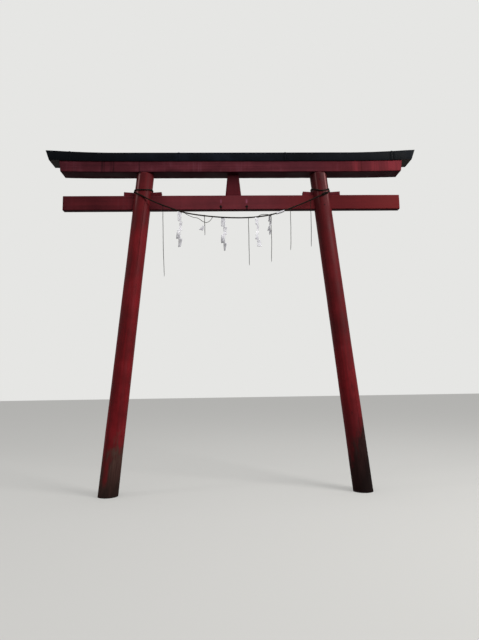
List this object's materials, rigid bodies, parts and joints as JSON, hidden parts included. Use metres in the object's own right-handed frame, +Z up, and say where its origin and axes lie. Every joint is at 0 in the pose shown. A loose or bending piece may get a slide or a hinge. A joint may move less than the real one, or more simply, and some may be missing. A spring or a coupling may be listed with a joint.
{
  "type": "wooden torii gate",
  "caption": "Wooden torii gate: leaning round posts, a wedged tie beam, an upper beam under a metal-clad cap beam, and a straw rope with paper streamers and thin strands.",
  "frame": {"origin": "middle of the left post's flat foot, on the ground, seen from the front", "axes": "+X to the right post, +Y away from the front, +Z up"},
  "size_m": [4.1518, 0.227, 3.7731],
  "materials": {
    "post_paint": "weathered vermilion paint on round cedar posts",
    "beam_paint": "weathered vermilion paint on sawn cedar beams",
    "wedge_paint": "weathered vermilion paint on wedges",
    "cap_timber": "weathered dark cedar under the cover",
    "cap_metal": "black-brown coated sheet steel, satin",
    "straw_rope": "old rice-straw rope, weathered dark",
    "streamer_paper": "folded white paper, a little damp and creased",
    "nail_iron": "rusted forged iron nails"
  },
  "bodies": {
    "root": {"left_post": "post_paint", "right_post": "post_paint", "tie_beam": "beam_paint", "left_tie_nail": "nail_iron", "right_tie_nail": "nail_iron", "left_outer_wedge": "wedge_paint", "left_inner_wedge": "wedge_paint", "right_inner_wedge": "wedge_paint", "right_outer_wedge": "wedge_paint", "center_strut": "beam_paint", "upper_beam": "beam_paint", "cap_beam": "cap_timber", "cap_sheet_left_end": "cap_metal", "cap_sheet_left": "cap_metal", "cap_sheet_middle": "cap_metal", "cap_sheet_right": "cap_metal", "cap_sheet_right_end": "cap_metal", "left_cap_end_plate": "cap_metal", "right_cap_end_plate": "cap_metal", "left_rope_ring": "straw_rope", "right_rope_ring": "straw_rope", "rope_span": "straw_rope", "left_rope_knot": "straw_rope", "right_rope_knot": "straw_rope", "left_streamer": "streamer_paper", "middle_streamer": "streamer_paper", "right_streamer": "streamer_paper", "short_streamer": "streamer_paper", "straw_strand_1": "straw_rope", "straw_strand_2": "straw_rope", "straw_strand_3": "straw_rope", "straw_strand_4": "straw_rope", "straw_strand_5": "straw_rope", "straw_strand_6": "straw_rope"}
  },
  "joints": []
}
